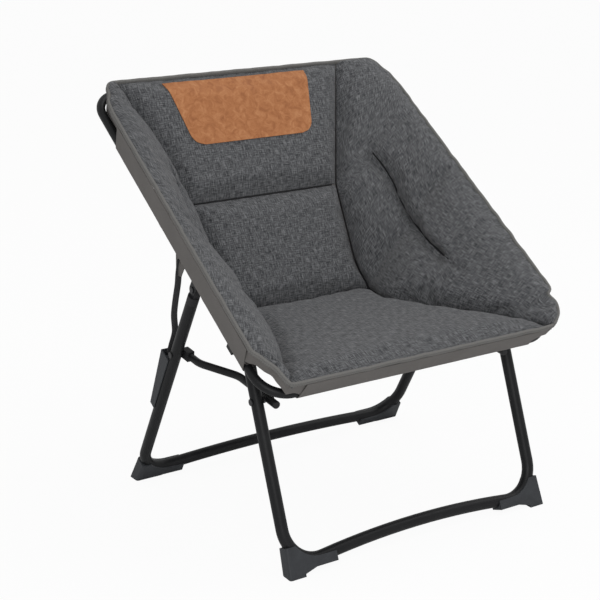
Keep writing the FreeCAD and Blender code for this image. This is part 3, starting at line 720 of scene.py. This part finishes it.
def lay_shade_tape(name, cells, line, upper, wide, tall):
    """Tape along line(v), below the seam and flattened across upper, the way that the cushions face there."""

    def shape(u, v):
        run = line(min(1.0, v + 0.005)) - line(max(0.0, v - 0.005))
        sideways = run.cross(upper).normalized()
        turn = 2 * math.pi * u
        return line(v) + sideways * (wide * math.cos(turn)) + upper * (tall * (math.sin(turn) - 1))

    dress(closed_tube(name, 12, cells, shape), crease_shade_twill)


def sunk(edge, t, first, last, upper, depth):
    """Line of a tape along an edge from its first share to its last, sunk below the seam."""
    return lambda v: edge(t, first + (last - first) * v) - upper * depth


# Each tape laid here is painted shade along a crease or a tuck.
for side, hand in ((-1, "left"), (1, "right")):
    inward = Vector((-side, 0, 0))
    lean = (seat_normal + inward).normalized()
    line = sunk(seat_edge, side, 0.96, -0.005, lean, 0.001)
    lay_shade_tape(hand + "_seat_crease_tape", 50, line, lean, 0.007, 0.004)
    lean = (back_normal + inward).normalized()
    line = sunk(back_edge, side, -0.005, 0.970, lean, 0.004)
    lay_shade_tape(hand + "_back_crease_tape", 60, line, lean, 0.007, 0.004)
    lay_shade_tape(hand + "_tuck_tape", 60, lambda v: along_stations(tuck_lines[hand], v), inward, 0.0021, 0.0018)
lean = (seat_normal + back_normal).normalized()
lay_shade_tape("seat_back_shade_tape", 30, lambda v: back_edge(2 * v - 1, 0.0), lean, 0.007, 0.003)
lay_shade_tape("back_seam_shade_tape", 30, lambda v: back_edge(1.9 * v - 0.95, seam) - back_normal * 0.003,
          back_normal, 0.006, 0.0015)


# Bands: canvas strips that hang from the sewn edge, wrap the rim tube in a tunnel and are sewn to themselves.
# They are pulled tight by the tube, wave slightly between the stitches and bunch here and there below it.
# They are notched where the brackets come out.

skin_rows, tunnel_rows = 11, 19
tunnel_radius = 11.0
tunnel_step = math.radians(15)


def band_profile(top):
    """Section of a band as (out, up) in mm: the skin, the tunnel round the tube and the turned-in hem."""
    reach = math.hypot(top[0], top[1])
    leave = math.atan2(top[1], top[0]) - math.acos(tunnel_radius / reach)
    length = math.sqrt(reach ** 2 - tunnel_radius ** 2)

    def at(angle, out, rise):
        across = math.cos(angle) * out - math.sin(angle) * rise
        return across, math.sin(angle) * out + math.cos(angle) * rise

    points = [at(leave, tunnel_radius, length * (1 - i / 10)) for i in range(skin_rows)]
    points += [at(leave - tunnel_step * i, tunnel_radius, 0) for i in range(1, tunnel_rows + 1)]
    points += [at(leave, tunnel_radius - 2.4, rise) for rise in (16, 22, 28)]
    return points


def band(name, node, top, run, place, rests_on, notches=(), gathers=()):
    """Band along its run, place(along, out, up) giving points in mm. Its hem bunches beside its gathers."""
    profile = band_profile(top)
    strips = len(profile) - 1
    cells = int(run[1] - run[0]) // 10
    width = sum(math.dist(a, b) for a, b in zip(profile, profile[1:])) / 1000
    length = (run[1] - run[0]) / 1000
    spare = 1.02

    def shape(u, v):
        along = run[0] + (run[1] - run[0]) * v
        row = round(u * strips)
        out, up = profile[row]
        slack = min(1.0, row / 5) if row < skin_rows else 0.18
        wave = noise.noise(Vector((along * 0.018, row * 0.10, 5.0))) * 1.6
        wave += noise.noise(Vector((along * 0.06, row * 0.15, 9.0))) * 0.7
        bunched = sum(math.exp(-((along - spot) / 32) ** 2) for spot in gathers)
        bunched *= max(0.0, math.sin(0.24 * along))
        round_tunnel = max(0, min(row, skin_rows + tunnel_rows) - skin_rows) / tunnel_rows
        return place(along, out + wave * slack, up - 5.0 * bunched * math.sin(math.pi * round_tunnel))

    sheet = cloth_grid(name, strips, cells, shape, place(0, 1, 0) - place(0, 0, 0))
    bpy.ops.object.mode_set(mode="EDIT")
    bpy.ops.mesh.select_all(action="DESELECT")
    bpy.ops.object.mode_set(mode="OBJECT")
    for polygon in sheet.data.polygons:
        row, cell = polygon.index % strips, polygon.index // strips
        along = run[0] + (run[1] - run[0]) * (cell + 0.5) / cells
        polygon.select = row > skin_rows + 1 and any(abs(along - spot) < 16 for spot in notches)
    bpy.ops.object.mode_set(mode="EDIT")
    bpy.ops.mesh.delete(type="FACE")
    bpy.ops.object.mode_set(mode="OBJECT")
    cloth_panel(sheet, node, (width * spare, length * spare), rests_on)


rim_half, rim_front, rim_rear = 351, -332, 527
hinges = (-31.1, -197.0)
gathers = (-75, 135)
for side, hand in ((-1, "left"), (1, "right")):
    band(hand + "_band", "band_" + hand, (21, 57.7), (-253, 368),
         lambda s, o, h: on_rim(side * (rim_half + o), s, h), ["rim_front_hoop"], hinges, gathers)
band("front_band", "band_front", (19, 45.7), (-285, 285),
     lambda s, o, h: on_rim(s, rim_front - o, h), ["rim_front_hoop"])
band("top_band", "band_top", (-26, 57.7), (-285, 285),
     lambda s, o, h: on_rim(s, rim_rear + o, h), ["rim_rear_hoop"])


# Corner flaps: the canvas that closes the four cut-off corners between the bands, hemmed along its foot.
# It hangs from the sewn edge inside the rim tube, which shows bare there.

def top_hem(t):
    """Lower edge of a top corner flap, just inside the tube's bend: sideways and up the rim, in mm."""
    bend, inside, first, radius = 0.55, 338, 358, 47
    if t < bend:
        return inside, first + 109 * t / bend
    turn = math.pi / 2 * (t - bend) / (1 - bend)
    return inside - radius + radius * math.cos(turn), first + 109 + radius * math.sin(turn)


def top_flap(side, u, v):
    """Point of a top corner flap, u from the sewn edge to the hem and v from the side to the top."""
    edge = edge_at(side, 358 + 139 * min(1.0, v / 0.7))
    edge.x = side * (abs(edge.x) - 50 * max(0.0, v - 0.7) / 0.3)
    x, along = top_hem(v)
    hem = Vector((side * x, along, -4))
    ripple = noise.noise(Vector((v * 5, u, side))) * 3 * u
    sway = Vector((0, 0, 1)).cross(hem - edge).normalized() * ripple
    start = edge + Vector((0, 0, -4))
    return on_rim(*(start + (hem - start) * u + sway))


def front_flap(side, u, v):
    """Point of a front corner flap, u from the sewn edge to the hem and v from the side to the front."""
    edge = edge_at(side, -246 - 101 * min(1.0, v / 0.75))
    edge.x = side * (abs(edge.x) - 42 * max(0.0, v - 0.75) / 0.25)
    drop = 27 + 22 * (2 * v - 1) ** 4
    inward = Vector((-side * 0.6, 0.8, 0)) * (6 * u)
    ripple = noise.noise(Vector((v * 5, u, side + 4))) * 3 * u
    return on_rim(*(edge + inward * (1 + 0.2 * ripple) + Vector((0, 0, -3 - drop * u))))


for side, hand in ((-1, "left"), (1, "right")):
    for name, flap, flat, facing in (("_top_flap", top_flap, (0.21, 0.08), (side, 0.6, 0)),
                                     ("_front_flap", front_flap, (0.16, 0.06), (side, -0.6, 0))):
        sheet = cloth_grid(hand + name, 10, 24, lambda u, v: flap(side, u, v), Vector(facing))
        cloth_panel(sheet, None, flat, ["mouth_binding"])


# Edge binding: a folded strip of canvas over the raw edges of cushion, panel and band, all round the mouth.
# It is sewn through in rows, and it puckers a little where it turns the cut-off corners.

def straight_edge(x, along, rise, seed):
    """Point of the sewn edge across the top or the front, which wavers a little."""
    return Vector((x, along + 1.5 * noise.noise(Vector((x * 0.03, 0, seed))), rise))


welt_points = [straight_edge(x, top_along, top_rise, 2) for x in range(-335, 336, 5)]
welt_points += [edge_at(1, top_along - 4 * step) for step in range(1, 211)]
welt_points += [straight_edge(x, front_along, front_rise, 8) for x in range(320, -321, -5)]
welt_points += [edge_at(-1, front_along + 4 + 4 * step) for step in range(0, 210)]
for turn in range(3):
    welt_points = [(welt_points[i - 1] + point * 2 + welt_points[(i + 1) % len(welt_points)]) / 4
                   for i, point in enumerate(welt_points)]


def beside_edge(i, out, up):
    """Point beside the binding's line, by its distance outwards and upwards in mm."""
    i %= len(welt_points)
    run = welt_points[(i + 1) % len(welt_points)] - welt_points[i - 1]
    outward = Vector((0, 0, 1)).cross(run).normalized()
    pucker = noise.noise(welt_points[i] * 0.05) * 0.8
    return on_rim(*(welt_points[i] + outward * (out + pucker) + Vector((0, 0, up))))


def rounded(value, power):
    """Part of a rounded section: the value's power, with its sign kept."""
    return math.copysign(abs(value) ** power, value)


binding_half, binding_tall, binding_drop = 3.5, 5.9, 1.0


def binding_place(u, v):
    """Point of the binding, u round its flattened section and v along the mouth of the bucket."""
    turn = 2 * math.pi * u
    out = binding_half * rounded(math.cos(turn), 0.6)
    up = binding_tall * rounded(math.sin(turn), 0.8) - binding_drop
    return beside_edge(round(v * len(welt_points)), out, up)


edging, shader, place = new_finish("edging", "UV")
threads = place.node("ShaderNodeMapping", {}, {"Vector": place, "Scale": (900.0, 500.0, 1.0)}).grain(1.0, 2.0)
threads.ramp((0.3, (0.122, 0.119, 0.114)), (0.7, (0.188, 0.184, 0.176))).into(shader, "Base Color")
shader.inputs["Roughness"].default_value = 0.8
shader.inputs["Specular IOR Level"].default_value = 0.3
threads.bump(0.3, 0.0006).into(shader, "Normal")
binding = closed_tube("mouth_binding", 16, len(welt_points), binding_place)
dress(binding, edging)
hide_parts("edge_binding")


# Stitches: three rows of grey thread through the binding, two on its outer face and one on its inner face.
# Each stitch is a short spindle of thread that sinks into the cloth at both ends.

thread_grey, shader, place = new_finish("thread_grey", "Object")
fibre = place.grain(900.0, 2.0)
fibre.ramp((0.3, (0.050, 0.050, 0.050)), (0.7, (0.085, 0.084, 0.083))).into(shader, "Base Color")
shader.inputs["Roughness"].default_value = 0.7
thread_radius = 0.0005
stitch_share = 0.75
points, faces = [], []
for out, up in ((binding_half, 2.2), (binding_half, -3.4), (-binding_half, -3.0)):
    for i in range(len(welt_points)):
        start = beside_edge(i, out, up)
        run = beside_edge(i + 1, out, up) - start
        end = start + run * stitch_share
        middle = (start + end) / 2
        away = (beside_edge(i, out * 1.2, up) - start).normalized() * thread_radius
        high = away.cross(run).normalized() * thread_radius
        first = len(points)
        points += [start, middle + away, middle + high, middle - away, middle - high, end]
        for a, b in ((1, 2), (2, 3), (3, 4), (4, 1)):
            faces += [(first, first + a, first + b), (first + 5, first + b, first + a)]
mesh = bpy.data.meshes.new("binding_stitches")
mesh.from_pydata(points, [], faces)
stitches = bpy.data.objects.new("binding_stitches", mesh)
bpy.context.scene.collection.objects.link(stitches)
pick(stitches)
bpy.ops.object.mode_set(mode="EDIT")
bpy.ops.mesh.select_all(action="SELECT")
bpy.ops.mesh.normals_make_consistent(inside=False)
bpy.ops.object.mode_set(mode="OBJECT")
bpy.ops.object.shade_smooth()
dress(stitches, thread_grey)
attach(stitches, "rim")


# Strap and tab: black webbing that hangs from a cloth tab under the rim and tucks into the leg clip.
# The tab is a folded flap sewn to the band; the webbing is slack, so it bows out behind the leg.

webbing, shader, place = new_finish("webbing", "UV")
lengthways = place.node("ShaderNodeSeparateXYZ", {}, {"Vector": place}, "Y")
ribs = place.node("ShaderNodeMath", {"operation": "SINE"}, {0: lengthways * 3100.0})
fuzz = place.grain(700.0, 2.0) + ribs * 0.12
fuzz.ramp((0.25, (0.020, 0.020, 0.022)), (0.8, (0.050, 0.050, 0.053))).into(shader, "Base Color")
shader.inputs["Roughness"].default_value = 0.75
ribs.bump(0.4, 0.0006).into(shader, "Normal")
strap_width, strap_thickness = 14, 0.0018
strap_route = ((-15, 569), (-6, 540), (0, 512), (14, 470), (21, 440),
               (19, 412), (22.6, 398.5), (36, 374), (47, 352))
strap_run = [Vector((0, y, z)) for y, z in strap_route]
tab_from, tab_width, tab_drop = 27.9, 46, -12.5
tab_foot = (Vector((0, -15, 531)), Vector((0, 5, 533)))
for side, hand in ((-1, "left"), (1, "right")):

    def strap_place(u, v):
        """Point of a strap, u across and v down its run."""
        point = along_stations(strap_run, v)
        return Vector((side * rim_half + (u - 0.5) * strap_width, point.y, point.z)) / 1000

    strap = cloth_grid(hand + "_strap", 4, 60, strap_place, Vector((0, 1, 0)))
    thicken(strap, strap_thickness, 1)
    bpy.ops.object.shade_smooth_by_angle(angle=sharp_above)
    dress(strap, webbing)
    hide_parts("strap_" + hand)
    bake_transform(strap)

    def tab_place(u, v):
        """Point of a tab, u along the band and v down to its foot."""
        head = on_rim(0, tab_from + tab_width * u, tab_drop)
        foot = (tab_foot[0] + (tab_foot[1] - tab_foot[0]) * u) / 1000
        bulge = 0.0016 * math.sin(math.pi * u) * math.sin(math.pi * v)
        return head + (foot - head) * v + Vector((side * (rim_half / 1000 + bulge), 0, 0))

    tab = cloth_grid(hand + "_strap_tab", 12, 12, tab_place, Vector((side, 0, 0)))
    thicken(tab, strap_thickness, 0)
    bpy.ops.object.shade_smooth_by_angle(angle=sharp_above)
    dress(tab, canvas)
    hand + "_band"
    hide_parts("strap_tab_" + hand)
    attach(tab, "rim")
    head_middle = on_rim(side * rim_half, tab_from + tab_width / 2, tab_drop)
    on_rim(0, 0, 1000) - on_rim(0, 0, 0)
    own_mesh(tab)


# Studio: a white floor under soft even light, with the camera where the photograph was taken from.
# The floor is white to the camera and keeps the chair's soft shadow.

bpy.ops.object.select_all(action="DESELECT")
bpy.ops.mesh.primitive_plane_add(size=30, location=(0, 0, 0))
floor = bpy.context.object
floor.name = "studio_floor"
white, shader, place = new_finish("white_floor", "Object")
shader.inputs["Base Color"].default_value = (0.86, 0.86, 0.86, 1)
shader.inputs["Roughness"].default_value = 0.9
lit = Tone(place.tree, shader.outputs["BSDF"])
seen = Tone(place.tree, place.tree.nodes.new("ShaderNodeLightPath").outputs["Is Camera Ray"])
glow = place.node("ShaderNodeEmission", {}, {"Color": (1, 1, 1, 1), "Strength": 1.0})
mixed = place.node("ShaderNodeMixShader", {}, {0: seen * 0.94, 1: lit, 2: glow})
mixed.into(place.tree.nodes["Material Output"], "Surface")
floor.data.materials.append(white)

world = bpy.data.worlds.new("studio")
bpy.context.scene.world = world
world.use_nodes = True
sky = world.node_tree
backdrop = sky.nodes["Background"]
seen = Tone(sky, sky.nodes.new("ShaderNodeLightPath").outputs["Is Camera Ray"])
(seen * 0.4 + 0.6).into(backdrop, "Strength")
backdrop.inputs["Color"].default_value = (1, 1, 1, 1)

lamp_aim = Vector((0, 0, 0.5))
for name, spot, size, power in (("key", (1.5, -0.4, 3.0), 2.6, 26), ("front", (-1.8, -3.0, 2.0), 2.4, 40)):
    lamp = bpy.data.objects.new(name, bpy.data.lights.new(name, "AREA"))
    lamp.data.size = size
    lamp.data.energy = power
    lamp.location = spot
    lamp.rotation_euler = (lamp_aim - Vector(spot)).to_track_quat("-Z", "Y").to_euler()
    bpy.context.scene.collection.objects.link(lamp)

camera = bpy.data.objects.new("camera", bpy.data.cameras.new("camera"))
camera.data.lens = 86.84
camera.data.sensor_width = 36
azimuth, elevation, tip = math.radians(-32.33), math.radians(16.95), math.radians(-0.42)
camera_aim, camera_away = Vector((-0.0237, 0.0543, 0.4095)), 3.1809
level_back = Vector((math.sin(azimuth), -math.cos(azimuth), 0)) * math.cos(elevation)
back = level_back + Vector((0, 0, math.sin(elevation)))
level_right = Vector((0, 0, 1)).cross(back).normalized()
level_up = back.cross(level_right)
right = level_right * math.cos(tip) + level_up * math.sin(tip)
up = level_up * math.cos(tip) - level_right * math.sin(tip)
spot = camera_aim + back * camera_away
camera.matrix_world = Matrix((
    (right.x, up.x, back.x, spot.x),
    (right.y, up.y, back.y, spot.y),
    (right.z, up.z, back.z, spot.z),
    (0, 0, 0, 1),
))
bpy.context.scene.collection.objects.link(camera)
bpy.context.scene.camera = camera
bpy.context.scene.view_settings.view_transform = "Standard"
